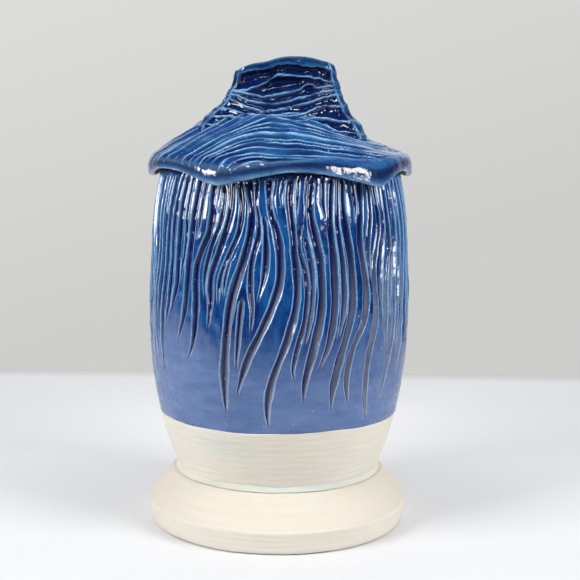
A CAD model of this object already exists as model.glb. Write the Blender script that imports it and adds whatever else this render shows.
"""Looks of the lidded yarn jar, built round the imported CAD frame.

Dimensions are in millimetres and become metres when a mesh is made. +Z is up and the front is towards -Y.
Azimuths are in degrees from the front towards the right (+X).
"""

import math

import bpy
import numpy as np
from mathutils import Matrix


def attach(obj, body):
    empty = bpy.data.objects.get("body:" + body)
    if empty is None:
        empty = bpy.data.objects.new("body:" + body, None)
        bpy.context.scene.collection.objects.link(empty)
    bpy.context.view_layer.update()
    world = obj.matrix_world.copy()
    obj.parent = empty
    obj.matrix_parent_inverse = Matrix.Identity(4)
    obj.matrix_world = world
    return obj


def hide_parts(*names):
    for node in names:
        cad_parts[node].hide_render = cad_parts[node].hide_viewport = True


MM = 0.001

# ---- the jar and its foot ----
JAR_OUTSIDE = [(26.6, 50.6), (57.5, 60.3), (77, 63.6), (104, 65.5), (134, 64.4), (158, 62.9), (178, 59.3)]
JAR_INSIDE = [(34, 36), (37, 45), (44, 51.5), (57.5, 54.3), (77, 57.6), (104, 59.5), (134, 58.4), (178, 53)]
BASE_Z = 26.6
FLOOR_Z = 34.0
RIM_Z = 178.0
RIM_OUTLINE = [(58.8, 0.35), (58.2, 0), (56.2, 0), (53.9, 0.3), (53.0, 1.6)]  # radius and how far below RIM_Z
JAR_SKIN = 0.3  # how far the glazed wall lies inside JAR_OUTSIDE, to leave room for its unevenness
GLAZE_LINE_Z = 57.0
GLAZE_LIP = 0.112  # how far the glaze stands out in a roll along its lower edge
GLAZE_IOR = 1.58

# ---- the cuts in the jar's wall ----
TOP = 175.8  # the height at which most cuts start
FRONT_CUTS = [  # width, depth, and the path down as points in azimuth and height
    (3.6, 1.5, [(-62.5, TOP), (-64, 160), (-63.4, 137), (-66.2, 114), (-65.8, 98), (-63, 83)]),
    (2.2, 0.9, [(-59.5, TOP), (-60.8, 155), (-60.8, 135), (-62.3, 116), (-63, 104)]),
    (2.0, 0.8, [(-56.4, TOP), (-57.9, 165), (-58.2, 155)]),
    (3.4, 1.6, [(-53.8, TOP), (-55.4, 158), (-56.2, 132), (-58.4, 106), (-59.4, 92), (-59.1, 75)]),
    (3.1, 1.3, [(-48.7, TOP), (-51.4, 156), (-52, 132), (-52.8, 119), (-54.8, 106), (-55, 101)]),
    (4.1, 1.8, [(-45.3, TOP), (-46.8, 156), (-47.6, 138), (-48.1, 124), (-50.6, 114), (-53, 106)]),
    (2.2, 0.9, [(-41.5, TOP), (-42.8, 158), (-43, 142), (-44.5, 134), (-45.2, 122)]),
    (4.1, 1.8, [(-36.8, TOP), (-38.7, 157), (-41.2, 130), (-42.2, 115), (-44.4, 105), (-47.6, 96.5)]),
    (2.4, 1.0, [(-33.3, TOP), (-34.7, 162), (-35.3, 153), (-37.2, 144)]),
    (4.3, 2.0, [(-29, TOP), (-30.2, 151), (-35.9, 136), (-36.1, 112), (-38.2, 96), (-41.2, 88.5)]),
    (1.9, 0.8, [(-26.4, TOP), (-27.2, 166), (-27.8, 159)]),
    (2.9, 1.3, [(-24.6, 172), (-24.3, 158), (-29.5, 142), (-31.9, 130), (-31.4, 118)]),
    (3.6, 1.7, [(-20.8, TOP), (-20.7, 160), (-25.5, 141), (-28.4, 132), (-28.8, 115), (-30, 104)]),
    (3.1, 1.4, [(-17.8, TOP), (-15.6, 162), (-16.6, 151), (-20, 142), (-24.2, 130), (-25.2, 115)]),
    (2.0, 0.9, [(-20.2, 139), (-21.8, 132), (-22.8, 119.5)]),
    (4.7, 2.1, [(-14, TOP), (-11, 160), (-12, 149), (-19.4, 119), (-21.5, 100), (-22.6, 83), (-22.4, 65)]),
    (3.1, 1.3, [(-14.6, 121), (-15.6, 108), (-17.2, 85)]),
    (2.9, 1.3, [(-9.9, TOP), (-9.7, 163), (-8, 152), (-10.9, 138), (-11.3, 126), (-10.3, 114), (-11, 103)]),
    (2.9, 1.3, [(-6.3, 158), (-5.0, 143), (-5.5, 132), (-8.6, 117.5)]),
    (4.1, 2.0, [(-4.6, TOP), (-3.8, 165), (0.5, 144), (0.3, 127), (-4.2, 112), (-12.4, 92), (-17.6, 74)]),
    (2.0, 0.8, [(-1.2, TOP), (-2.3, 166), (-1.2, 159), (0.8, 153)]),
    (1.7, 0.6, [(2.2, TOP), (0.9, 168), (1.7, 161)]),
    (4.0, 1.9, [
        (5.1, TOP), (4.5, 166), (6.5, 145), (7.4, 119), (3.8, 102), (-2.4, 82), (-4.1, 70), (-3.5, 59),
    ]),
    (2.0, 0.9, [(8.6, TOP), (7.6, 163), (7.3, 155)]),
    (3.0, 1.4, [(8.6, 154), (8.2, 145), (11.5, 132), (11.1, 113), (7.2, 94), (6.4, 88), (7.9, 80)]),
    (1.7, 0.7, [(12.2, TOP), (11.2, 166), (11.6, 158)]),
    (2.9, 0.8, [(10.8, 150), (13.7, 134), (14, 125), (12, 106), (10.2, 97)]),
    (4.3, 2.0, [(14.2, TOP), (13.1, 162), (17.4, 137), (17.9, 117), (13.7, 93), (11.5, 82), (11, 71.5)]),
    (2.3, 1.0, [(19.2, TOP), (19, 164), (20.1, 156)]),
    (4.1, 1.9, [(23.3, TOP), (21.8, 159), (23.4, 136), (23.3, 113), (20.2, 96), (16.6, 87)]),
    (3.1, 0.9, [(26.2, TOP), (25, 156), (27.6, 134), (27.7, 116), (24.6, 99)]),
    (4.2, 2.0, [(28, TOP), (27.6, 164), (31.6, 136), (32, 117), (26.4, 92), (23.9, 78), (23.6, 67)]),
    (2.3, 0.9, [(33.2, TOP), (34.1, 164), (33.8, 154.5)]),
    (3.6, 1.8, [(37.9, TOP), (35.9, 148), (39.3, 122), (38.2, 111), (31.8, 95), (30.2, 82), (32, 69)]),
    (3.1, 1.3, [(42.6, TOP), (41.6, 157), (40.4, 145), (41, 134), (42.7, 126)]),
    (3.8, 1.7, [(45.4, TOP), (47.2, 152), (43.8, 135), (44.8, 112), (40.6, 86), (41.2, 73), (44.2, 59)]),
    (1.8, 0.7, [(48.2, TOP), (48.2, 166), (49, 159)]),
    (2.9, 0.9, [(50.8, 172), (50.9, 150), (48, 126), (48.2, 108)]),
    (4.3, 1.8, [(53.4, TOP), (53.2, 161), (55.2, 146), (51.2, 121), (51.3, 105), (54.2, 90)]),
    (2.6, 0.8, [(56, 140), (54.3, 122), (54.6, 106)]),
    (4.0, 1.8, [(58.4, TOP), (60.1, 150), (57.9, 121), (57.2, 98), (54.4, 85), (50.4, 67)]),
    (3.1, 1.3, [(63, TOP), (64.6, 148), (61.6, 115), (60.6, 105), (61.3, 92)]),
    (4.3, 1.8, [(67.5, TOP), (69.5, 140), (66, 110), (64.4, 90), (62.4, 75)]),
]
BACK_START, BACK_END = 72.5, 292.5  # the cuts between these azimuths are out of the front's sight
BACK_CUTS = 51
BACK_ENDS = [64, 72, 80, 88, 96, 104, 112]  # heights that the long cuts of the back end near
CUT_TIP = 19.0  # length of a cut's tapering lower tip
CUT_HEAD = 2.2  # length of its rounded upper end
CUT_FADE = 7.0  # how far beyond its ends a cut still makes its neighbours bend round it
CUT_GAP = 0.25  # least gap between two cuts, in degrees
RIDGE = 1.15  # width of the ridge left between neighbouring cuts high on the wall
RIDGE_LEAST = 0.6  # and where they crowd together
LAND_SWELL = 0.3  # how far the wall bulges between two cuts
CUT_COLUMNS = (-1, -0.82, -0.55, -0.2, 0.15, 0.5, 0.8, 1)  # the mesh's columns across a cut, in half widths
CUT_LEAN = 0.16  # how far a cut's deepest line lies to the left of its middle, in half widths
LINE_WIDTH = 0.36  # how far onto the land the pale line reaches where the glaze breaks over a cut's edge
THIN_BELOW_Z = 91  # the jar's glaze is thin and milky below about this height
THIN_LEAN = 12  # and below a height this much lower on the right, and higher on the left
INSIDE_THIN = 0.4  # how thin it is inside, from 0 to 1
SMEARS = [  # turquoise on the bare neck: strength, azimuth and its spread, height and its spread
    (0.55, -38, 24, 49, 5.5),
    (0.35, 35, 30, 33, 6),
]

# ---- the foot and the coil that joins it to the jar ----
FOOT_OUTLINE = [
    (0, 18.5), (42, 18.5), (46, 17.5), (48.6, 14.6), (55.6, 1.6), (56.6, 0.5), (58, 0), (62.8, 0),
    (64.1, 0.7), (64.5, 2.2), (65.8, 10.7), (65.7, 11.5), (65.3, 11.9), (53.6, 26.1), (52.2, 26.6), (0, 26.6),
]
COIL_OUTLINE = [
    (49.6, 26.5), (52.5, 26.5), (52.2, 27.0), (51.8, 27.7), (51.5, 28.6), (51.3, 29.5), (49.6, 29.0),
]
CLAY_SKIN = 0.12  # how far the turned clay lies inside its outline, to leave room for its unevenness
THROWN = 0.06  # height of the throwing lines

# ---- the lid ----
CAP_TOP_Z = 206.0
CAP_TOP_X = 30.0
CAP_TOP_Y = 18.0
BROW = [  # azimuth, radius and height, where the flat top bends into the slope
    (-90.0, 35.0, 205.2), (0.0, 21.0, 203.6), (90.0, 41.5, 194.5), (180.0, 21.0, 203.6),
]
BROW_AT = 0.25  # the brow's and the shoulder's places, as shares of the way from the top to the edge
SHOULDER_AT = 0.87
SHOULDER_Z = 186.5
SHOULDER_IN = 0.12  # how far the shoulder lies inside the edge, as a share of the way back to the brow
ARCH_R = 63.7  # radius and height of the edge where it arches up between two points
ARCH_Z = 179.0
TIPS = [  # azimuth, radius and height of the edge's drooping points
    (-95, 66.1, 174), (-24, 70, 172.8), (42, 70, 172), (100, 66.9, 174.6), (172, 65.8, 173.5),
]
POINTEDNESS = 1.25
CAP_WALL = 4.4
CAP_LEFT, CAP_RIGHT = -65.98, 66.22  # nothing of the cap reaches past these x values
ROLL_AT = 0.957  # the middle of the edge's rolled bead, as a share of the way down
ROLL_FULL = 0.95  # how far the bead stands out, in front and on the left
ROLL_FLATTER = 0.4  # and how much less of it there is on the right
LIP_GLAZED = 4  # the last glazed ring of the lip, counted from its first
CAP_SKIN = 0.5  # how far the glazed lid lies inside its plain shape, to leave room for its unevenness
KNOB_SECTIONS = [  # height, left and right ends in x, half thickness in y
    (192.0, -44.0, 44.0, 27.5),
    (200.0, -41.0, 40.0, 24.0),
    (205.0, -36.5, 35.9, 20.0),
    (210.0, -30.6, 32.8, 16.0),
    (216.0, -26.6, 30.0, 13.0),
    (222.0, -24.2, 28.2, 12.8),
    (235.0, -18.6, 24.6, 15.0),
]
KNOB_SQUARENESS = 0.52
KNOB_CREST = [  # x, height
    (-30, 222.6), (-22, 225.6), (-17.5, 227.5), (-7, 229.5), (-1, 231.2),
    (7, 231.9), (15.5, 231.2), (20, 230.2), (25, 229.2), (32, 226.4),
]
KNOB_DISH = [  # share of the way in to the middle, and how far the dish has sunk below the crest there
    (0.03, -0.2), (0.07, -0.2), (0.12, 0.1), (0.17, 0.7), (0.23, 1.3), (0.3, 1.75), (0.38, 1.95), (0.5, 2.0),
    (0.62, 2.0), (0.75, 2.0), (0.88, 2.0),
]
KNOB_RIDGES = [  # the ridges across the knob's face, as points in x and height
    [(-30, 223.4), (-18, 224.9), (-8.5, 225.8), (5, 228.2), (13.5, 227.3), (24, 225.8), (32, 224.5)],
    [
        (-30, 215.6), (-20, 216), (-14, 216.8), (-8.5, 218.9),
        (-1.7, 222.8), (3, 223.3), (10, 222.6), (25, 220.4),
    ],
    [
        (-30, 214.9), (-20, 215.2), (-12, 213.7), (-3.7, 214.1),
        (3, 215), (9, 216.6), (13, 218.8), (18, 217.9), (26, 218.7),
    ],
    [
        (-30, 214), (-20, 213.2), (-16, 211.6), (-10.5, 210.5),
        (0, 210.5), (7, 212.6), (13.5, 214.4), (26, 216.6),
    ],
    [
        (-32, 211.6), (-21.5, 210.8), (-17.4, 208.9), (-10.4, 206.8),
        (-3.5, 206.7), (3.3, 208.4), (10, 210.6), (27, 214.5),
    ],
    [
        (-34, 208), (-24, 207.2), (-17, 205.2), (-7, 204.2),
        (3.4, 204.2), (10, 205.7), (17, 208.2), (28, 209.6),
    ],
    [
        (-44, 203), (-29, 204), (-17, 202.9), (-7, 201.6),
        (0, 201.8), (7, 202.4), (17, 203.1), (31, 202.2), (44, 199),
    ],
    [(-44, 199), (-29, 199.5), (-10, 198), (10, 198.6), (24, 197.6), (44, 195)],
    [(-44, 194), (0, 194), (44, 192.5)],
]
KNOB_BASE_Z = 193.0
KNOB_TOP_Z = 226.0  # about where the crest is; its real height varies round the knob
KNOB_CORNER_AT = 55  # degrees from the front or back to the corners where the narrow sides begin
GOUGE_DEEPEST = 3.2
GOUGE_HOLLOW = 0.55  # depth of a gouge for each mm between its two ridges
COMB_SPACING = 3.8  # of the strokes combed across the cap
STROKE_DEPTH = 1.35
STROKE_RADIUS = 20.0  # of the strokes at the cap's top; inside it they bunch together
STROKE_SLOPE = 44.0  # how much of their pattern the cap's slope shows
STROKE_EDGE = 33.0  # and how much more the rolled edge
FAN_CENTRE_X = -6.0  # of the point that the strokes fan round on the left
FAN_STEEPNESS = 2.2  # how steeply they run outwards in the fan
FAN_START = 0.6  # how far round from the front the fan is fully open, in radians
RING_OUTLINE = [
    (46.6, 167.2), (47.2, 166.6), (51.6, 166.6), (52.2, 167.2), (52.2, 177.7), (52.5, 178), (57.0, 178),
    (57.4, 178.5), (57.4, 183.5), (46.6, 189.0),
]

# ---- colours, as linear red, green and blue ----
GLAZE_DEEP = (0.003, 0.020, 0.125, 1)
GLAZE_MID = (0.009, 0.084, 0.275, 1)
GLAZE_LID_DEEP = (0.004, 0.04, 0.19, 1)
GLAZE_LID_MID = (0.019, 0.135, 0.315, 1)
GLAZE_POOLED = (0.005, 0.010, 0.10, 1)
GLAZE_LID_POOLED = (0.002, 0.009, 0.065, 1)
GLAZE_TAUPE = (0.31, 0.315, 0.35, 1)
GLAZE_HALO = (0.42, 0.52, 0.68, 1)
GLAZE_BREAK = (0.28, 0.53, 0.81, 1)
GLAZE_THIN = (0.05, 0.115, 0.31, 1)
GLAZE_MILKY = (0.125, 0.205, 0.41, 1)
CLAY = (0.77, 0.72, 0.63, 1)
CLAY_DARK = (0.60, 0.54, 0.45, 1)
CLAY_PALE = (0.80, 0.73, 0.63, 1)
CLAY_STAIN = (0.52, 0.66, 0.63, 1)
TABLE_COLOUR = (0.88, 0.885, 0.895, 1)
TABLE_MOTTLE = (0.865, 0.87, 0.88, 1)
TABLE_NEAR_COLOUR = (0.68, 0.685, 0.695, 1)
TABLE_FAR_COLOUR = (0.78, 0.785, 0.795, 1)
WALL_COLOUR = (0.72, 0.72, 0.705, 1)
WALL_LOW_COLOUR = (0.615, 0.615, 0.60, 1)
ROOM_COLOUR = (0.035, 0.042, 0.06, 1)

# ---- camera, stage and lamps ----
CAMERA_AT = (5.4, -602.0, 200.0)
CAMERA_PITCH = 7.9  # degrees below the horizontal
CAMERA_ROLL = 0.67
CAMERA_LENS = 74.5
CAMERA_SENSOR = 36.0
TABLE_BACK_Y = 351.0
TABLE_FADE = 26.0  # width of the strip in which its back edge fades
TABLE_FRONT_Y = -470.0
TABLE_NEAR = (-60.0, 100.0)  # it pales between these y values
TABLE_FAR = (100.0, 260.0)  # and dims again between these
TABLE_DARK_Y = -130.0  # nearer than this it is mirrored darker and darker
TABLE_HALF_WIDTH = 1000.0
LAMPS_AIM_Z = 130.0
WINDOWS = [  # name, azimuth, elevation, distance, width, height, power in watts
    ("window_left", -71, 13, 900, 600, 190, 6.8),
    ("window_right", 42, 13, 900, 360, 200, 4.1),
    ("window_front", -15, 38, 900, 300, 60, 1.2),
]
FILLS = [  # the same values
    ("fill_left", -57, 32, 1000, 500, 400, 9.4),
    ("fill_right", 59, 32, 1000, 500, 400, 9.1),
    ("fill_back", 180, 14, 1000, 600, 300, 1.3),
    ("overhead", 0, 86, 1600, 1500, 1200, 9.0),
]


# ==== shared helpers ====
def smooth_curve(points, at):
    """A smooth curve through (x, y) points, read at x values, as cubic spans."""
    points = sorted(points)
    x = np.array([p[0] for p in points], float)
    y = np.array([p[1] for p in points], float)
    slope = np.gradient(y, x) if len(x) > 2 else np.full(2, (y[1] - y[0]) / (x[1] - x[0]))
    at = np.clip(np.asarray(at, float), x[0], x[-1])
    k = np.clip(np.searchsorted(x, at) - 1, 0, len(x) - 2)
    span = x[k + 1] - x[k]
    t = (at - x[k]) / span
    rest = 1 - t
    return (
        rest * rest * (1 + 2 * t) * y[k]
        + t * t * (3 - 2 * t) * y[k + 1]
        + span * t * rest * (rest * slope[k] - t * slope[k + 1])
    )


def ease(value, low, high):
    """0 below low, 1 above high, and a smooth step between."""
    t = np.clip((np.asarray(value, float) - low) / (high - low), 0, 1)
    return t * t * (3 - 2 * t)


def bell(value, middle, width):
    """1 at the middle, falling off smoothly on both sides."""
    return np.exp(-(((value - middle) / width) ** 2))


def waves(points, size, seed, count=10):
    """A smooth random field of about unit height at points (..., 3), whose bumps are about that size."""
    rng = np.random.default_rng(seed)
    total = 0
    for _ in range(count):
        direction = rng.normal(size=3)
        direction *= rng.uniform(0.7, 1.4) / (size * np.linalg.norm(direction))
        total = total + np.sin(2 * math.pi * (points @ direction) + rng.uniform(0, 2 * math.pi))
    return total / math.sqrt(count / 2)


def polar(azimuth, radius, height):
    """Points (..., 3) at azimuths in degrees, radii and heights."""
    angle = np.radians(azimuth)
    return np.stack(np.broadcast_arrays(radius * np.sin(angle), -radius * np.cos(angle), height), axis=-1)


def add_object(name, data):
    """A new object in the scene that shows a mesh, lamp or camera."""
    made = bpy.data.objects.new(name, data)
    bpy.context.scene.collection.objects.link(made)
    return made


def ring_faces(rows, columns, row_material, closed):
    """The corners of every face between the rings, each face's number of corners, and its material number."""
    number = np.arange(rows * columns).reshape(rows, columns)
    below = number if closed else number[:-1]
    above = np.roll(number, -1, axis=0) if closed else number[1:]
    quads = np.stack([below, np.roll(below, -1, 1), np.roll(above, -1, 1), above], axis=-1).reshape(-1, 4)
    slots = np.repeat(np.zeros(len(below), int) if row_material is None else row_material, columns)
    if closed:
        return quads.reshape(-1), np.full(len(quads), 4), slots
    low, high = number[0], number[-1]
    low_middle, high_middle = np.full(columns, number.size), np.full(columns, number.size + 1)
    fan_low = np.stack([low_middle, np.roll(low, -1), low], axis=-1)
    fan_high = np.stack([high_middle, high, np.roll(high, -1)], axis=-1)
    corners = np.concatenate([quads.reshape(-1), fan_low.reshape(-1), fan_high.reshape(-1)])
    sizes = np.repeat([4, 3], [len(quads), 2 * columns])
    slots = np.concatenate([slots, np.full(columns, slots[0]), np.full(columns, slots[-1])])
    return corners, sizes, slots


def ring_mesh(name, rings, materials, fields, row_material=None, closed=False):
    """A closed mesh of rings (rows, columns, 3) in mm: from the underside outwards, up, and in again.

    closed joins the last ring to the first; otherwise each end is filled by a fan round its middle.
    fields are arrays (rows, columns) kept as point attributes, and a material reads a missing one as 0.
    row_material is a material number per row of faces.
    """
    points = rings.reshape(-1, 3)
    if not closed:
        points = np.vstack([points, rings[0].mean(0), rings[-1].mean(0)])
    corners, sizes, slots = ring_faces(*rings.shape[:2], row_material, closed)
    mesh = bpy.data.meshes.new(name)
    mesh.vertices.add(len(points))
    mesh.vertices.foreach_set("co", (points * MM).astype(np.float32).reshape(-1))
    mesh.loops.add(len(corners))
    mesh.loops.foreach_set("vertex_index", corners.astype(np.int32))
    mesh.polygons.add(len(sizes))
    mesh.polygons.foreach_set("loop_start", (np.cumsum(sizes) - sizes).astype(np.int32))
    mesh.polygons.foreach_set("material_index", slots.astype(np.int32))
    mesh.polygons.foreach_set("use_smooth", np.ones(len(sizes), bool))
    mesh.update(calc_edges=True)
    for key, values in fields.items():
        flat = np.asarray(values, float).reshape(-1)
        if not closed:
            flat = np.append(flat, [np.mean(values[0]), np.mean(values[-1])])
        attribute = mesh.attributes.new(key, "FLOAT", "POINT")
        attribute.data.foreach_set("value", flat.astype(np.float32))
    for material in materials:
        mesh.materials.append(material)
    mesh.validate()
    return add_object(name, mesh)


def normals_of(rings):
    """Unit normals of a grid of rings (rows, columns, 3), pointing out of the piece."""
    along = np.roll(rings, -1, 1) - np.roll(rings, 1, 1)
    up = np.gradient(rings, axis=0)
    normal = np.cross(along, up)
    return normal / np.maximum(np.linalg.norm(normal, axis=-1, keepdims=True), 1e-9)


def turned(outline, columns, rows_per_mm):
    """Rings (rows, columns, 3) of a turned outline of (radius, height) points; long runs are split."""
    radii, heights = [], []
    for (r0, z0), (r1, z1) in zip(outline, outline[1:]):
        steps = max(1, round(math.hypot(r1 - r0, z1 - z0) * rows_per_mm))
        for i in range(steps):
            radii.append(r0 + (r1 - r0) * i / steps)
            heights.append(z0 + (z1 - z0) * i / steps)
    radii.append(outline[-1][0])
    heights.append(outline[-1][1])
    azimuth = np.arange(columns) * 360 / columns
    return polar(azimuth[None], np.array(radii)[:, None], np.array(heights)[:, None])


# ==== materials ====
def node(tree, kind, inputs=None, **settings):
    """A new node with its settings, and its inputs set to values or joined to sockets."""
    made = tree.nodes.new(kind)
    for key, value in settings.items():
        setattr(made, key, value)
    for key, value in (inputs or {}).items():
        if isinstance(value, bpy.types.NodeSocket):
            tree.links.new(value, made.inputs[key])
        else:
            made.inputs[key].default_value = value
    return made


def mixed(tree, factor, first, second):
    """The colour between first and second."""
    return node(tree, "ShaderNodeMix", {0: factor, 6: first, 7: second}, data_type="RGBA").outputs[2]


def field(tree, name):
    """What a mesh's own field says at each point: ring_mesh's fields, by name."""
    return node(tree, "ShaderNodeAttribute", attribute_name=name).outputs["Fac"]


def noise(tree, scale, detail=3.0, stretch=(1, 1, 1), rough=0.55):
    """A noise in the object's own coordinates; scale is in bumps per metre."""
    place = node(tree, "ShaderNodeTexCoord").outputs["Object"]
    place = node(tree, "ShaderNodeVectorMath", {0: place, 1: stretch}, operation="MULTIPLY").outputs[0]
    inputs = {"Vector": place, "Scale": scale, "Detail": detail, "Roughness": rough}
    return node(tree, "ShaderNodeTexNoise", inputs).outputs["Fac"]


def ramp(tree, value, low, high, to_low=0.0, to_high=1.0):
    """A value carried over from low..high to to_low..to_high, and held at both ends."""
    inputs = {"Value": value, "From Min": low, "From Max": high, "To Min": to_low, "To Max": to_high}
    return node(tree, "ShaderNodeMapRange", inputs).outputs[0]


def maths(tree, operation, *values):
    """What a Math node makes of values or sockets."""
    return node(tree, "ShaderNodeMath", dict(enumerate(values)), operation=operation).outputs[0]


def product(tree, first, second):
    return maths(tree, "MULTIPLY", first, second)


def bumped(tree, height, strength, distance, normal=None):
    """A normal bent by a height; distance is in metres."""
    inputs = {"Height": height, "Strength": strength, "Distance": distance}
    if normal is not None:
        inputs["Normal"] = normal
    return node(tree, "ShaderNodeBump", inputs).outputs[0]


def seen_by_camera(tree):
    return node(tree, "ShaderNodeLightPath").outputs["Is Camera Ray"]


def new_material(name):
    material = bpy.data.materials.new(name)
    material.use_nodes = True
    return material, material.node_tree, material.node_tree.nodes["Principled BSDF"]


def glaze_material(name, deep, mid, pooled, upright):
    """Cobalt glaze: navy where it pools in the cuts, pale where it breaks over their edges, milky where thin.

    upright is how its streaks are stretched: below 1 they run up and down, above 1 they lie level.
    """
    material, tree, shader = new_material(name)
    broad = noise(tree, 60, 4, (1, 1, upright))
    fine = noise(tree, 330, 4, (1, 1, upright))
    colour = mixed(tree, ramp(tree, maths(tree, "ADD", broad, fine), 0.84, 1.17), deep, mid)
    milky = mixed(tree, ramp(tree, noise(tree, 60, 5, (1, 1, 3.5)), 0.3, 0.75), GLAZE_THIN, GLAZE_MILKY)
    colour = mixed(tree, field(tree, "thin"), colour, milky)
    streak = ramp(tree, noise(tree, 110, 3, (1, 1, 0.12)), 0.25, 0.6, 0.35, 1.0)
    pool = mixed(tree, product(tree, streak, field(tree, "grey")), pooled, GLAZE_TAUPE)
    sunk = product(tree, ramp(tree, field(tree, "cut"), 0.05, 0.75), ramp(tree, fine, 0.3, 0.5, 0.7, 1.0))
    colour = mixed(tree, sunk, colour, pool)
    fleck = product(tree, ramp(tree, noise(tree, 520, 1), 0.73, 0.8), 0.6)
    colour = mixed(tree, fleck, colour, GLAZE_BREAK)
    from_ridge = maths(tree, "PINGPONG", field(tree, "stroke"), 0.5)
    combed = product(tree, ramp(tree, from_ridge, 0.03, 0.16, 1.0, 0.0), field(tree, "comb"))
    edge = maths(tree, "MAXIMUM", field(tree, "edge"), combed)
    speck = ramp(tree, noise(tree, 900, 2), 0.3, 0.6, 0.55, 1.0)
    line = mixed(tree, field(tree, "halo"), GLAZE_BREAK, GLAZE_HALO)
    colour = mixed(tree, product(tree, edge, speck), colour, line)
    tree.links.new(colour, shader.inputs["Base Color"])
    gloss = ramp(tree, noise(tree, 130, 3), 0.3, 0.7, 0.05, 0.13)
    dulled = maths(tree, "MULTIPLY_ADD", field(tree, "thin"), 0.2, gloss)
    tree.links.new(dulled, shader.inputs["Roughness"])
    shader.inputs["IOR"].default_value = GLAZE_IOR
    orange_peel = bumped(tree, noise(tree, 420, 3), 0.35, 0.0003)
    swell = bumped(tree, noise(tree, 130, 2, (1, 1, 0.5)), 0.5, 0.0008, orange_peel)
    tree.links.new(swell, shader.inputs["Normal"])
    return material


def clay_material(name):
    """Bare fired stoneware: cream, matt and grainy, with scraped lines, turquoise fuming and worn tops."""
    material, tree, shader = new_material(name)
    scraped = noise(tree, 30, 6, (1, 1, 26), 0.6)
    colour = mixed(tree, ramp(tree, scraped, 0.45, 0.78, 0, 0.35), CLAY, CLAY_DARK)
    patch = noise(tree, 28, 4)
    colour = mixed(tree, ramp(tree, patch, 0.42, 0.8, 0, 0.4), colour, CLAY_PALE)
    grit = ramp(tree, noise(tree, 2600, 2), 0.62, 0.72, 0, 0.3)
    colour = mixed(tree, grit, colour, CLAY_DARK)
    colour = mixed(tree, product(tree, field(tree, "worn"), 0.85), colour, CLAY_DARK)
    smear = ramp(tree, noise(tree, 45, 5, (1, 1, 9)), 0.42, 0.66)
    colour = mixed(tree, product(tree, smear, field(tree, "stain")), colour, CLAY_STAIN)
    tree.links.new(colour, shader.inputs["Base Color"])
    tree.links.new(ramp(tree, noise(tree, 300, 3), 0.3, 0.7, 0.68, 0.88), shader.inputs["Roughness"])
    shader.inputs["Specular IOR Level"].default_value = 0.3
    grain = bumped(tree, noise(tree, 2200, 3), 0.35, 0.0002)
    tree.links.new(bumped(tree, scraped, 0.22, 0.0006, grain), shader.inputs["Normal"])
    return material


# ==== the jar ====
def back_cuts():
    """Cuts for the side that the front doesn't show: long and short ones that sway together."""
    rng = np.random.default_rng(11)
    cuts = []
    for i in range(BACK_CUTS):
        middle = BACK_START + (i + 0.5 + rng.uniform(-0.13, 0.13)) * (BACK_END - BACK_START) / BACK_CUTS
        sway = 2.4 * math.sin(math.radians(middle) * 3.1 + 1.0)
        turn = math.radians(middle) * 5.3 + rng.uniform(-0.25, 0.25)
        short = i % 5 == 2
        end = rng.uniform(150, 158) if short else rng.choice(BACK_ENDS) + rng.uniform(-4, 4)
        heights = np.linspace(TOP, end, 3 if short else 7)
        path = []
        for z in heights:
            drift = sway * math.sin((z - 60) / 19.0 + turn) + 0.9 * math.sin((z - 90) / 11.0 + 2 * turn)
            path.append((middle + drift, z))
        width = rng.uniform(1.6, 2.0) if short else rng.uniform(2.5, 3.7)
        cuts.append((width, 0.5 * width * rng.uniform(0.85, 1.15), path))
    return cuts


def drawn_cuts(cuts, heights, radius):
    """Each cut at each height, as (cuts, rows): centre and half width in degrees, depth, and presence."""
    shape = (len(cuts), len(heights))
    centre, half, depth, presence = (np.zeros(shape) for _ in range(4))
    rng = np.random.default_rng(5)
    for i, (width, deep, path) in enumerate(cuts):
        top, end = path[0][1], path[-1][1]
        centre[i] = smooth_curve([(z, a) for a, z in path], heights)
        tip = min(CUT_TIP, 0.6 * (top - end)) * rng.uniform(0.8, 1.15)
        up_tip = np.clip((heights - end) / tip, 0, 1)
        down_head = np.clip((top - heights) / CUT_HEAD, 0, 1)
        swell = 1 + 0.10 * np.sin(heights / rng.uniform(5, 8) + rng.uniform(0, 6))
        swell = swell + 0.05 * np.sin(heights / rng.uniform(1.6, 2.4) + rng.uniform(0, 6))
        half[i] = np.degrees(0.5 * width / radius) * swell * up_tip**0.62 * down_head**0.5
        depth[i] = deep * ease(up_tip, 0, 1) ** 0.8 * ease(down_head, 0, 1)
        outside = np.maximum(end - heights, 0) + np.maximum(heights - top, 0)
        presence[i] = np.clip(1 - outside / CUT_FADE, 0, 1)
    return centre, half, depth, presence


def spread_cuts(centre, half, presence):
    """The cuts' centres at one height, in degrees, when the absent ones share out the room that is left."""
    hold = 400 * presence**3 + 1e-4
    beside = np.eye(len(centre))
    system = np.diag(hold + 2.0) - np.roll(beside, 1, 0) - np.roll(beside, -1, 0)
    pull = hold * centre + np.roll(half, 1) - np.roll(half, -1)
    pull[0] += -360.0
    pull[-1] += 360.0
    return np.linalg.solve(system, pull)


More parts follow.
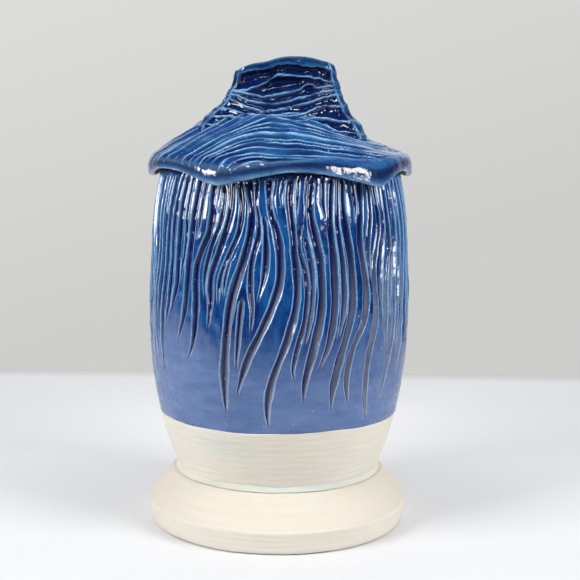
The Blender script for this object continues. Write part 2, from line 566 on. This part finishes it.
def cut_layout(cuts, heights, radius):
    """Where each cut runs at each height: its centre, half width (both in degrees) and depth."""
    centre, half, depth, presence = drawn_cuts(cuts, heights, radius)
    slim = np.clip(1.15 - 2.5 * half / half.max(axis=1, keepdims=True), 0.004, 1)
    for row in range(len(heights)):
        placed = spread_cuts(centre[:, row], half[:, row], presence[:, row])
        # Neighbours that are too close then push each other apart, and one near its tip gives way first.
        gives = np.maximum(slim[:, row], 1 - presence[:, row])
        shared = gives + np.roll(gives, -1)
        needed = half[:, row] + np.roll(half[:, row], -1) + CUT_GAP
        for _ in range(12):
            tight = np.minimum(np.diff(np.append(placed, placed[0] + 360)) - needed, 0)
            tight = 0.8 * tight * np.clip(shared, 0, 1)
            placed += tight * gives / shared - np.roll(tight * np.roll(gives, -1) / shared, 1)
        centre[:, row] = placed
    # High on the wall the cuts widen until only a thin ridge is left between them.
    room = np.diff(np.vstack([centre, centre[:1] + 360]), axis=0)
    widen = (room - np.degrees(RIDGE / radius)) / np.maximum(half + np.roll(half, -1, 0), 1e-6)
    widen = np.minimum(widen, np.roll(widen, 1, 0))
    widen = np.clip(widen, 1, 1 + 0.5 * ease(heights, 100, 140) * ease(depth, 0.2, 0.8))
    kernel = np.ones(7) / 7
    widen = np.stack([np.convolve(np.pad(line, 3, "edge"), kernel, "valid") for line in widen])
    return centre, half * widen, depth * np.sqrt(widen)


def carved_wall(heights, radius):
    """Azimuth, depth, and three of the glaze's fields at each row and column of the jar's carved outside.

    The fields are the pale edges, how sunk the glaze lies, and the side of the cut: -1 left to 1 right.
    """
    centre, half, depth = cut_layout(FRONT_CUTS + back_cuts(), heights, radius)
    following = np.roll(centre, -1, 0)
    following[-1] += 360
    room = following - centre
    next_half = np.roll(half, -1, 0)
    share = np.clip(3 * half / half.max(axis=1, keepdims=True), 0, 1)
    ridge = np.degrees(RIDGE_LEAST / radius) * np.minimum(share, np.roll(share, -1, 0))
    crowding = np.clip((room - ridge - 0.04) / np.maximum(half + next_half, 1e-6), 0.15, 1)
    land = np.maximum(room - (half + next_half) * crowding, 0.04)
    right = half * crowding * share + 0.3 * land * (1 - share)
    left = half * np.roll(crowding, 1, 0) * share + 0.3 * np.roll(land, 1, 0) * (1 - share)
    depth = depth * np.minimum(crowding, np.roll(crowding, 1, 0)) ** 0.7
    present = share * ease(depth, 0.05, 0.3)
    parts = []
    for step in CUT_COLUMNS:  # the columns across the cut
        leaned = step + CUT_LEAN * (1 - step * step)
        profile = (1 - abs(leaned) ** 2.3) ** 1.35
        shift = step * (left if step < 0 else right)
        pale = present if abs(step) == 1 else 0.2 * present * (abs(step) > 0.75)
        parts.append((centre + shift, depth * profile, pale, profile * present, step * present))
    right_limit = centre + right
    next_limit = following - np.roll(left, -1, 0)
    between_cuts = next_limit - right_limit
    strip = np.minimum(np.degrees(LINE_WIDTH / radius), 0.36 * between_cuts)
    nothing = 0 * centre
    pale_ridge = 0.6 * (1 - ease(between_cuts, 0.7, 1.3)) * np.minimum(present, np.roll(present, -1, 0))
    swollen = -LAND_SWELL * ease(between_cuts, 0.3, 3.0) * ease(heights, 90, 120)
    middle = (right_limit + next_limit) / 2
    for at, swell in ((right_limit + strip, 0.35), (middle, 1), (next_limit - strip, 0.35)):
        parts.append((at, swell * swollen, pale_ridge, nothing, nothing))
    return [np.stack(kind).transpose(2, 1, 0).reshape(len(heights), -1) for kind in zip(*parts)]


def jar_radius(height):
    """Radius of the jar's outside, before it is carved."""
    return smooth_curve(JAR_OUTSIDE, height)


def glaze_line(azimuth):
    """Height of the glaze's lower edge."""
    angle = np.radians(azimuth)
    broad = 0.35 * np.sin(2 * angle + 0.6) + 0.25 * np.sin(5 * angle)
    return GLAZE_LINE_Z + broad + 0.12 * np.sin(13 * angle + 2)


def rim_and_inside(azimuth, lowest_azimuth):
    """The jar's rings from the rim down inside, and one under the glazed part, whose azimuths differ."""
    rim = [polar(azimuth, r, RIM_Z - down) for r, down in RIM_OUTLINE]
    inner_heights = np.linspace(RIM_Z - 12, GLAZE_LINE_Z, 5)
    inner_radii = [smooth_curve(JAR_INSIDE, z) + 0.3 * math.sin(z / 4) for z in inner_heights]
    inner = [polar(azimuth, r, z) for r, z in zip(inner_radii, inner_heights)]
    under = polar(lowest_azimuth, jar_radius(GLAZE_LINE_Z) - 0.35, glaze_line(lowest_azimuth) - 0.12)
    return np.stack([*rim, *inner, under])


def carved_jar(glaze, clay):
    """The glazed part of the jar: the carved outside, the wiped rim, and the upper part of its inside."""
    heights = np.linspace(GLAZE_LINE_Z, RIM_Z - 0.9, 80)
    radius = jar_radius(heights)
    azimuth, cut_depth, edge, sunk, side = carved_wall(heights, radius)
    height = np.repeat(heights[:, None], azimuth.shape[1], 1)
    settle = 1 - ease(height, GLAZE_LINE_Z, GLAZE_LINE_Z + 16)
    height = height + settle * (glaze_line(azimuth) - GLAZE_LINE_Z)
    place = polar(azimuth, 65.0, height)
    uneven = 0.12 * waves(place, 30, 3) + 0.05 * waves(place, 7, 4)
    chatter = 0.05 * waves(place, 2.6, 8) * sunk
    sunk = np.maximum(sunk, ease(height, 175.2, 176.4))
    outside = jar_radius(height) - JAR_SKIN - cut_depth + uneven + chatter
    outer = polar(azimuth, outside + GLAZE_LIP * bell(height, glaze_line(azimuth), 0.9), height)

    rings = np.concatenate([outer, rim_and_inside(azimuth[-1], azimuth[0])])
    plain = np.zeros((len(rings) - len(outer), azimuth.shape[1]))
    thin_below = THIN_BELOW_Z - THIN_LEAN * np.sin(np.radians(azimuth)) + 2.5 * waves(place, 60, 9)
    thin = 1 - ease(height, thin_below - 18, thin_below + 22)
    thin = thin * (1 - 0.75 * ease(sunk, 0.1, 0.7))
    fields = {
        "edge": np.concatenate([edge, plain]),
        "cut": np.concatenate([sunk, plain]),
        "grey": np.concatenate([ease(side, -0.2, 0.45) * (1 - ease(height, 112, 155)), plain]),
        "halo": np.concatenate([1 - ease(height, 75, 125), plain]),
        "thin": np.concatenate([thin, plain + INSIDE_THIN]),
    }
    faces = np.zeros(len(rings), int)
    faces[len(outer) + 1 : len(outer) + len(RIM_OUTLINE) - 1] = 1  # the wiped rim is bare clay
    faces[-1] = 1
    piece = ring_mesh("carved_jar", rings, [glaze, clay], fields, faces, closed=True)
    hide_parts("jar_body")
    return piece


def bare_neck(clay, glaze):
    """The jar's unglazed base outside, and the glazed bottom of its inside."""
    columns = 360
    azimuth = np.arange(columns) * 360 / columns
    top = glaze_line(azimuth)
    shares = np.linspace(0, 1, 44)[:, None]
    height = BASE_Z + shares * (top - BASE_Z)
    place = polar(azimuth, 60.0, height)
    radius = jar_radius(height) - 0.1 + 0.045 * np.sin(height * 2.1 + 0.4 * waves(place, 60, 21))
    radius = radius + 0.09 * waves(place, 26, 22) + 0.04 * waves(place * [1, 1, 6], 14, 23)
    outer = polar(azimuth, radius, height)
    base = np.stack([polar(azimuth, r, BASE_Z) for r in (12.0, 35.0, 50.0)])
    inner = [
        polar(azimuth, jar_radius(GLAZE_LINE_Z) - 1.6, top - 0.1),
        polar(azimuth, 55.5, GLAZE_LINE_Z),
    ]
    for z in (GLAZE_LINE_Z, 52.0, 47.0, 43.0, 39.5, 37.0, 35.3, 34.4):
        inner.append(polar(azimuth, smooth_curve(JAR_INSIDE, z), z))
    for r in (34.0, 29.0, 24.0, 18.0, 12.0, 6.0):  # the floor, with faint throwing rings
        inner.append(polar(azimuth, r, FLOOR_Z + 0.25 * math.cos(r / 3.0)))
    rings = np.concatenate([base, outer, np.stack(inner)])
    seam = 0.8 * bell(height, 27.5, 3.0)
    stain = seam * 0.8 * ease(waves(place, 45, 24), -0.6, 1.2)
    for strength, at, wide, at_height, tall in SMEARS:
        around = (azimuth - at + 180) % 360 - 180
        stain = stain + strength * bell(around, 0, wide) * bell(height, at_height, tall)
    fields = {name: np.zeros(rings.shape[:2]) for name in ("stain", "thin")}
    fields["stain"][len(base) : len(base) + len(outer)] = np.clip(stain, 0, 1)
    fields["thin"][len(base) + len(outer) :] = INSIDE_THIN
    faces = np.zeros(len(rings) - 1, int)
    faces[len(base) + len(outer) + 1 :] = 1
    piece = ring_mesh("bare_neck", rings, [clay, glaze], fields, faces)
    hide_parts("jar_body")
    return piece


def clay_turning(name, outline, node_name, clay, seed, closed=False, stain=None):
    """A turned clay piece with fine throwing lines and a slightly uneven surface."""
    rings = turned(outline, columns=420, rows_per_mm=1.3)
    normal = normals_of(rings)
    radius = np.hypot(rings[..., 0], rings[..., 1])
    uneven = 0.08 * waves(rings, 30, seed) + 0.03 * waves(rings, 8, seed + 1)
    thrown = THROWN * np.sin(2.3 * rings[..., 2] + 1.1 * radius + 0.5 * waves(rings, 50, seed + 2))
    quiet = ease(radius, 2, 12)  # the middle stays smooth, where the columns meet
    rings = rings + normal * ((uneven + thrown) * quiet - CLAY_SKIN)[..., None]
    rings[..., 2] = np.maximum(rings[..., 2], 0)
    stains = np.zeros(rings.shape[:2]) if stain is None else stain(rings)
    worn = np.clip(normal[..., 2], 0, 1)
    piece = ring_mesh(name, rings, [clay], {"stain": stains, "worn": worn}, closed=closed)
    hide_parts(node_name)
    return piece


def foot_stain(rings):
    """A little of the turquoise that ran down onto the foot's upper side, strongest at the seam."""
    height = rings[..., 2]
    radius = np.hypot(rings[..., 0], rings[..., 1])
    patches = ease(waves(rings, 50, 31), -0.5, 1.0)
    return np.clip(0.55 * ease(height, 20, 27) * ease(radius, 50, 52) * patches, 0, 1)


def seam_stain(rings):
    """Turquoise that gathered along the seam between the jar and its foot."""
    return np.clip(0.5 + 0.4 * waves(rings, 30, 33), 0.1, 1)


# ==== the lid ====
def between(table, azimuth):
    """For each azimuth, the columns of the table on either side and how far from one to the other it is."""
    columns = np.array(table + [(table[0][0] + 360, *table[0][1:])]).T
    turned_to = (azimuth - columns[0, 0]) % 360 + columns[0, 0]
    k = np.clip(np.searchsorted(columns[0], turned_to, side="right") - 1, 0, len(table) - 1)
    start, end = columns[:, k], columns[:, k + 1]
    return start, end, (turned_to - start[0]) / (end[0] - start[0])


def cap_outline(azimuth):
    """Radius and height of the cap's edge and brow, and the radius of its top, at each azimuth."""
    start, end, t = between(TIPS, azimuth)
    pull = 1 - np.sin(math.pi * t) ** POINTEDNESS
    _, tip_r, tip_z = start + t * (end - start)
    edge_r = ARCH_R + pull * (tip_r - ARCH_R)
    edge_z = ARCH_Z + pull * (tip_z - ARCH_Z)
    start, end, t = between(BROW, azimuth)
    soft = (1 - np.cos(math.pi * t)) / 2
    _, brow_r, brow_z = start + soft * (end - start)
    angle = np.radians(azimuth)
    top_r = 1 / np.hypot(np.sin(angle) / CAP_TOP_X, np.cos(angle) / CAP_TOP_Y)
    return edge_r, edge_z, brow_r, brow_z, top_r


def cap_ring(azimuth, share, depth=0.0):
    """The ring round the cap at a share of the way from its top to its edge."""
    edge_r, edge_z, brow_r, brow_z, top_r = cap_outline(azimuth)
    shoulder_r = edge_r - SHOULDER_IN * (edge_r - brow_r)
    if share <= BROW_AT:
        t = share / BROW_AT
        radius = top_r + t * (brow_r - top_r)
        height = CAP_TOP_Z + t * (brow_z - CAP_TOP_Z)
        turn_in = 0
    elif share <= SHOULDER_AT:
        t = (share - BROW_AT) / (SHOULDER_AT - BROW_AT)
        radius = brow_r + t * (shoulder_r - brow_r)
        height = brow_z + t * (SHOULDER_Z - brow_z)
        turn_in = 0
    else:
        turn_in = (share - SHOULDER_AT) / (1 - SHOULDER_AT)
        radius = shoulder_r + math.sin(turn_in * math.pi / 2) * (edge_r - shoulder_r)
        height = SHOULDER_Z + (1 - math.cos(turn_in * math.pi / 2)) * (edge_z - SHOULDER_Z)
    return polar(azimuth, radius - (0.45 + 0.4 * turn_in) * depth, height - (1 - turn_in) * depth)


def stroke_numbers(azimuth, share):
    """How many strokes lie between the cap's middle and each point, and how far the point is into the fan.

    The strokes run level in front, and on the left they fan down towards the rim.
    """
    radius = STROKE_RADIUS + STROKE_SLOPE * share + STROKE_EDGE * np.maximum(share - SHOULDER_AT, 0)
    place = polar(azimuth, radius, 0.0)
    turn = np.arctan2(FAN_CENTRE_X - place[..., 0], -place[..., 1])
    leftward = np.maximum(math.pi / 2 - np.hypot(turn - math.pi / 2, 0.2), 0)
    opening = np.where(leftward < FAN_START, leftward**2 / (2 * FAN_START), leftward - FAN_START / 2)
    bend = FAN_STEEPNESS * opening
    closing = np.where(azimuth > 0, 1 - 0.3 * np.sin(np.radians(azimuth)) ** 2, 1)
    across = radius * closing * np.exp(-bend)
    bunched = STROKE_RADIUS * (1 + np.log(np.maximum(across, 0.1) / STROKE_RADIUS))
    across = np.where(across > STROKE_RADIUS, across, bunched)
    across = across + 1.0 * waves(place, 60, 41) + 0.45 * waves(place, 24, 42) + 0.16 * waves(place, 9, 43)
    stroke = across / COMB_SPACING
    stroke = stroke + 0.22 * np.sin(1.9 * stroke + 1.0) + 0.12 * np.sin(3.1 * stroke)
    return stroke, ease(bend, 0.2, 0.7), place


def cap_strokes(azimuth, share):
    """The combed strokes at each point: number, depth, presence, and where the ridges between them show.

    In the fan the strokes join in pairs, so there only every other ridge shows.
    """
    stroke, fanned, place = stroke_numbers(azimuth, share)
    strengths = np.random.default_rng(44).uniform(0.4, 1.25, 64)
    depth = 0
    for width, weight in ((1, 1 - fanned), (2, fanned)):
        number = np.floor(stroke / width).astype(int)
        from_middle = 2 * (stroke / width - number) - 1
        strength = strengths[np.clip(width * number + 24, 0, len(strengths) - 1)]
        depth = depth + weight * strength * np.clip(1 - np.abs(from_middle) ** 2.2, 0, 1)
    depth = STROKE_DEPTH * depth * np.clip(0.85 + 0.4 * waves(place, 26, 45), 0.25, 1.2)
    ridged = 1 - fanned * (np.round(stroke) % 2)
    not_behind = ease(azimuth, -172, -150)
    left = ease(-azimuth, 4, 24) * not_behind
    stops_at = 0.91 + 0.045 * ease(-azimuth, -25, 0) * not_behind + 0.025 * left
    present = 1 - ease(share, stops_at - 0.035 - 0.02 * left, stops_at + 0.03 - 0.02 * left)
    return stroke, depth * present, present, ridged


def cap_rings(azimuth):
    """The plain cap's rings from its top down, round the lip and up inside, and each ring's share and row.

    The rows are numbered from the first ring of the lip.
    """
    slope = np.linspace(BROW_AT, SHOULDER_AT, 80)
    shares = np.concatenate([np.linspace(0, BROW_AT, 6)[:-1], slope, np.linspace(SHOULDER_AT, 1, 22)[1:]])
    outer = np.stack([cap_ring(azimuth, s) for s in shares])
    for _ in range(10):  # soften the brow and the shoulder
        outer[1:-1] = outer[1:-1] / 2 + (outer[:-2] + outer[2:]) / 4
    inner_shares = np.concatenate([np.linspace(1, SHOULDER_AT, 6), np.linspace(SHOULDER_AT, 0, 9)[1:]])
    inner = np.stack([cap_ring(azimuth, s, CAP_WALL) for s in inner_shares])
    lip_outer, lip_inner = outer[-1], inner[0]
    middle = (lip_outer + lip_inner) / 2
    lip = []
    for turn in np.radians([25, 50, 75, 105, 130, 155]):
        drop = np.array([0, 0, -1.0]) * math.sin(turn)
        lip.append(middle + (lip_outer - middle) * math.cos(turn) + drop)
    rings = np.concatenate([outer, np.stack(lip), inner])
    share = np.append(shares, np.ones(len(rings) - len(shares)))[:, None]
    row = np.arange(len(rings))[:, None] - len(outer)
    return rings, share, row


def lid_cap(glaze, clay):
    """The combed cap: its slope, the rolled edge with its points, and the bare hollow underneath."""
    columns = 720
    azimuth = np.arange(columns) * 360 / columns - 180
    rings, share, row = cap_rings(azimuth)
    normal = -normals_of(rings)
    stroke, depth, present, ridged = cap_strokes(azimuth[None], share)
    glazed = (row <= LIP_GLAZED).astype(float)
    rolled = bell(share, ROLL_AT, 0.036) * (row < 0)
    beaded = bell(row, 0.5, 4.5)
    uneven = 0.13 * waves(rings, 34, 47) + 0.05 * waves(rings, 9, 48)
    full = ROLL_FULL - ROLL_FLATTER * ease(azimuth, 0, 30)
    moved = (uneven - depth + full * rolled + 0.25 * beaded) * glazed - CAP_SKIN
    rings = rings + normal * moved[..., None]
    rings[..., 0] = np.clip(rings[..., 0], CAP_LEFT, CAP_RIGHT)
    pale_rim = bell(row, 1.0, 2.3) * (0.75 + 0.3 * waves(rings, 14, 49))
    strokes_end = bell(present, 0.45, 0.3) * (row < 0)
    under_roll = 0.9 * bell(share, 0.968, 0.018) * (row < 1)
    front = bell(azimuth, 0, 40)
    pooled = (0.5 + 0.45 * front) * np.clip(depth / STROKE_DEPTH, 0, 1)
    combed = np.clip(1.05 - 0.45 * front + 0.4 * waves(rings, 12, 46), 0.2, 1)
    fields = {
        "edge": np.clip(1.1 * pale_rim + 0.2 * strokes_end, 0, 1) * glazed,
        "stroke": stroke,
        "comb": combed * present * ridged * glazed,
        "cut": np.maximum(pooled, under_roll) * glazed,
        "halo": 0.5 * (1 - front) * glazed,
        "thin": 0.05 * glazed,
    }
    fields = {key: np.broadcast_to(value, stroke.shape)[::-1] for key, value in fields.items()}
    faces = (row[:-1, 0] >= LIP_GLAZED + 1).astype(int)
    piece = ring_mesh("combed_cap", rings[::-1], [glaze, clay], fields, faces[::-1])
    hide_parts("lid_cap")
    return piece


def knob_section(height, angle):
    """x and y of the knob's rounded outline at each height, at angles from the front."""
    left, right, half_y = (smooth_curve([(s[0], s[i]) for s in KNOB_SECTIONS], height) for i in (1, 2, 3))
    sine, cosine = np.sin(angle), np.cos(angle)
    x = (left + right) / 2 + (right - left) / 2 * np.sign(sine) * np.abs(sine) ** KNOB_SQUARENESS
    y = -half_y * np.sign(cosine) * np.abs(cosine) ** KNOB_SQUARENESS
    return x, y


def knob_carving(rings, face):
    """Depth and ridge line of the gouges across the knob's faces; they fade out on its narrow sides.

    Behind, the same ridges run the other way round and ripple; only the topmost follows the crest there too.
    """
    x, height = rings[..., 0], rings[..., 2]
    wander = 0.22 * waves(rings, 13, 61) + 0.12 * waves(rings, 5, 62)
    behind = np.where(rings[..., 1] > 0, 1.0, 0.0)
    ridges = []
    for number, points in enumerate(KNOB_RIDGES):
        turned_round = behind * min(number, 1)
        ripple = 1.2 * np.sin(x / 6 + 1.7 * number) * turned_round
        ridges.append(smooth_curve(points, x * (1 - 1.6 * turned_round)) + wander + ripple)
    depth = np.zeros_like(x)
    line = np.zeros_like(x)
    for upper, lower in zip(ridges, ridges[1:]):
        gap = np.maximum(upper - lower, 0.05)
        across = (height - (upper + lower) / 2) / (gap / 2)
        gouge = np.minimum(GOUGE_HOLLOW * gap, GOUGE_DEEPEST) * np.clip(1 - np.abs(across) ** 2.2, 0, 1)
        depth = np.maximum(depth, gouge)
    for number, ridge in enumerate(ridges[:-1]):
        strength = 1 if number else 0.45
        line = np.maximum(line, strength * bell(height, ridge, 0.36))
    line = line * np.clip(0.8 + 0.35 * waves(rings, 8, 65), 0.15, 1)
    return depth * (0.22 + 0.78 * face), line * (0.35 + 0.65 * face)


def knob_sides(angle, rows):
    """The plain knob's rings, spaced evenly between its base and its wavy crest."""
    rings = []
    for share in np.linspace(0, 1, rows):
        height = np.full(len(angle), KNOB_BASE_Z + share * (KNOB_TOP_Z - KNOB_BASE_Z))
        for _ in range(6):  # the crest's height and the outline's x depend on each other
            x = knob_section(height, angle)[0]
            height = KNOB_BASE_Z + share * (smooth_curve(KNOB_CREST, x) - KNOB_BASE_Z)
        x, y = knob_section(height, angle)
        rings.append(np.stack([x, y, height], -1))
    return np.stack(rings)


def knob_top(crest):
    """The rings of the dished top, inwards from the crest's ring."""
    middle = crest.mean(0)
    rings = []
    for pull, sink in KNOB_DISH:
        ring = crest + pull * (middle - crest)
        level = crest[:, 2] * (1 - pull) + pull * smooth_curve(KNOB_CREST, ring[:, 0])
        ring[:, 2] = level - sink + 0.12 * ease(pull, 0.1, 0.4) * waves(ring, 9, 69)
        rings.append(ring)
    return np.stack(rings)


def lid_knob(glaze):
    """The pinched knob, gouged across both faces, with a rolled lip round its wavy crest."""
    columns = 480
    angle = np.arange(columns) * 2 * math.pi / columns
    outer = knob_sides(angle, rows=110)
    normal = normals_of(outer)
    from_corner = np.degrees(np.arctan2(np.abs(np.sin(angle)), np.abs(np.cos(angle)))) - KNOB_CORNER_AT
    face = 1 - ease(from_corner, -9, -2)
    corner = bell(from_corner, 0, 2.4)
    depth, line = knob_carving(outer, face)
    below_crest = outer[-1:, :, 2] - outer[..., 2]
    depth = depth * ease(below_crest, 2.2, 3.4)  # the gouges end below the rolled lip
    uneven = 0.2 * waves(outer, 18, 63) + 0.1 * waves(outer, 6, 64) + 0.05 * waves(outer, 2.6, 67)
    outer = outer + normal * (uneven - depth + 0.4 * corner - CAP_SKIN)[..., None]
    top = knob_top(outer[-1])
    plain = np.zeros((len(top), columns))
    crest_lines = 0.45 * bell(waves(top, 14, 68), 0, 0.12)
    lip = bell(below_crest, 0, 0.7)
    pale_corner = 0.7 * corner * np.clip(0.65 + 0.3 * waves(outer, 7, 66), 0.2, 1)
    edge = np.clip(np.maximum(line * ease(below_crest, 1.6, 2.4), pale_corner) + 0.3 * lip, 0, 1)
    under_lip = 0.5 * (1 - ease(below_crest, 1.8, 2.6))
    cut = np.maximum(np.clip(depth / 1.1, 0, 1), under_lip)
    fields = {
        "edge": np.concatenate([edge, crest_lines]),
        "cut": np.concatenate([cut, plain + 0.3]),
        "thin": np.concatenate([0 * cut, plain + 0.05]),
    }
    piece = ring_mesh("pinched_knob", np.concatenate([outer, top]), [glaze], fields)
    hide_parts("lid_knob")
    return piece


# ==== stage, lights and camera ====
def stage():
    """A pale table, less pale near and far, whose back edge fades into the wall's grey.

    The glaze mirrors its front as dark, like a room beyond a table's edge, where the camera sees it pale.
    """
    material, tree, shader = new_material("pale_table")
    place = node(tree, "ShaderNodeTexCoord").outputs["Object"]
    depth = node(tree, "ShaderNodeSeparateXYZ", {0: place}).outputs["Y"]
    fade = ramp(tree, depth, (TABLE_BACK_Y - TABLE_FADE) * MM, TABLE_BACK_Y * MM)
    mottled = mixed(tree, noise(tree, 7, 3), TABLE_COLOUR, TABLE_MOTTLE)
    near, far = (ramp(tree, depth, start * MM, end * MM) for start, end in (TABLE_NEAR, TABLE_FAR))
    mottled = mixed(tree, near, TABLE_NEAR_COLOUR, mottled)
    mottled = mixed(tree, far, mottled, TABLE_FAR_COLOUR)
    front = ramp(tree, depth, TABLE_FRONT_Y * MM, TABLE_DARK_Y * MM, 1.0, 0.0)
    mirrored_front = product(tree, front, maths(tree, "SUBTRACT", 1.0, seen_by_camera(tree)))
    colour = mixed(tree, mirrored_front, mixed(tree, fade, mottled, WALL_LOW_COLOUR), ROOM_COLOUR)
    tree.links.new(colour, shader.inputs["Base Color"])
    shader.inputs["Roughness"].default_value = 0.75
    mesh = bpy.data.meshes.new("table")
    left, right = -TABLE_HALF_WIDTH, TABLE_HALF_WIDTH
    corners = [(left, TABLE_FRONT_Y), (right, TABLE_FRONT_Y), (right, TABLE_BACK_Y), (left, TABLE_BACK_Y)]
    mesh.from_pydata([(x * MM, y * MM, 0) for x, y in corners], [], [(0, 1, 2, 3)])
    mesh.materials.append(material)
    add_object("table", mesh)


def softbox(name, azimuth, elevation, distance, width, height, power):
    """A rectangular lamp that looks at the jar's middle; sizes in mm, power in watts."""
    lamp = bpy.data.lights.new(name, "AREA")
    lamp.shape = "RECTANGLE"
    lamp.size, lamp.size_y = width * MM, height * MM
    lamp.energy = power
    lamp_object = add_object(name, lamp)
    rise = math.radians(elevation)
    reach = polar(azimuth, distance * math.cos(rise), distance * math.sin(rise))
    lamp_object.location = (np.array([0, 0, LAMPS_AIM_Z]) + reach) * MM
    turn = Matrix.Rotation(math.radians(azimuth), 4, "Z")
    tilt = Matrix.Rotation(math.radians(90 - elevation), 4, "X")
    lamp_object.rotation_euler = (turn @ tilt).to_euler()
    return lamp_object


def room():
    """The room: the camera sees a wall that pales upwards, and the gloss finds it dark except at the back."""
    world = bpy.data.worlds.new("room")
    bpy.context.scene.world = world
    world.use_nodes = True
    tree = world.node_tree
    direction = node(tree, "ShaderNodeTexCoord").outputs["Generated"]
    part = node(tree, "ShaderNodeSeparateXYZ", {0: direction}).outputs
    upwards = maths(tree, "MULTIPLY_ADD", part["X"], -0.3, part["Z"])  # and a little to the left
    lit = mixed(tree, ramp(tree, upwards, -0.12, 0.16), WALL_LOW_COLOUR, WALL_COLOUR)
    mirrored_room = mixed(tree, ramp(tree, part["Y"], 0.72, 0.95), ROOM_COLOUR, lit)
    colour = mixed(tree, seen_by_camera(tree), mirrored_room, lit)
    tree.links.new(colour, tree.nodes["Background"].inputs["Color"])


def lights():
    """Windows that show only as reflections, and fills that give only diffuse light."""
    for name, *aim_size_power in WINDOWS:
        softbox(name, *aim_size_power).visible_diffuse = False
    for name, *aim_size_power in FILLS:
        softbox(name, *aim_size_power).visible_glossy = False


def camera():
    """The camera, level with the lid and looking slightly down."""
    lens = bpy.data.cameras.new("camera")
    lens.lens = CAMERA_LENS
    lens.sensor_width = CAMERA_SENSOR
    view = add_object("camera", lens)
    view.location = [value * MM for value in CAMERA_AT]
    tilt = Matrix.Rotation(math.radians(90 - CAMERA_PITCH), 4, "X")
    roll = Matrix.Rotation(math.radians(CAMERA_ROLL), 4, "Z")
    view.rotation_euler = (tilt @ roll).to_euler()
    bpy.context.scene.camera = view


# ==== assembly ====
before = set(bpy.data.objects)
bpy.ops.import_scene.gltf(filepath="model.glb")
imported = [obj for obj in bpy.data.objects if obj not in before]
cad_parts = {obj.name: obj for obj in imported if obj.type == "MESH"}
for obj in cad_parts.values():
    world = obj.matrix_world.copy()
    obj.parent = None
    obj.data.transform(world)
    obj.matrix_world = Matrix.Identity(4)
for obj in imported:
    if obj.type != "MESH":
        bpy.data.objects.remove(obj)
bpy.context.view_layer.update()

jar_blue = glaze_material("cobalt_glaze", GLAZE_DEEP, GLAZE_MID, GLAZE_POOLED, 0.4)
lid_blue = glaze_material("cobalt_glaze_lid", GLAZE_LID_DEEP, GLAZE_LID_MID, GLAZE_LID_POOLED, 5.0)
bare = clay_material("bare_stoneware")
seam_coil = clay_turning("seam_coil", COIL_OUTLINE, "foot_join_coil", bare, 81, closed=True, stain=seam_stain)
jar = carved_jar(jar_blue, bare)
neck = bare_neck(bare, jar_blue)
foot = clay_turning("turned_foot", FOOT_OUTLINE, "pedestal_foot", bare, 71, stain=foot_stain)
cap = lid_cap(lid_blue, bare)
knob = lid_knob(lid_blue)
locating_ring = clay_turning("locating_ring", RING_OUTLINE, "lid_locating_ring", bare, 91, closed=True)
for body, slot, pieces in (
    ("jar", "blue_glaze", [jar]),
    ("jar", "bare_stoneware", [neck, foot, seam_coil]),
    ("lid", "blue_glaze", [cap, knob]),
    ("lid", "bare_stoneware", [locating_ring]),
):
    for piece in pieces:
        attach(piece, body)

stage()
room()
lights()
camera()
bpy.context.scene.view_settings.view_transform = "Standard"
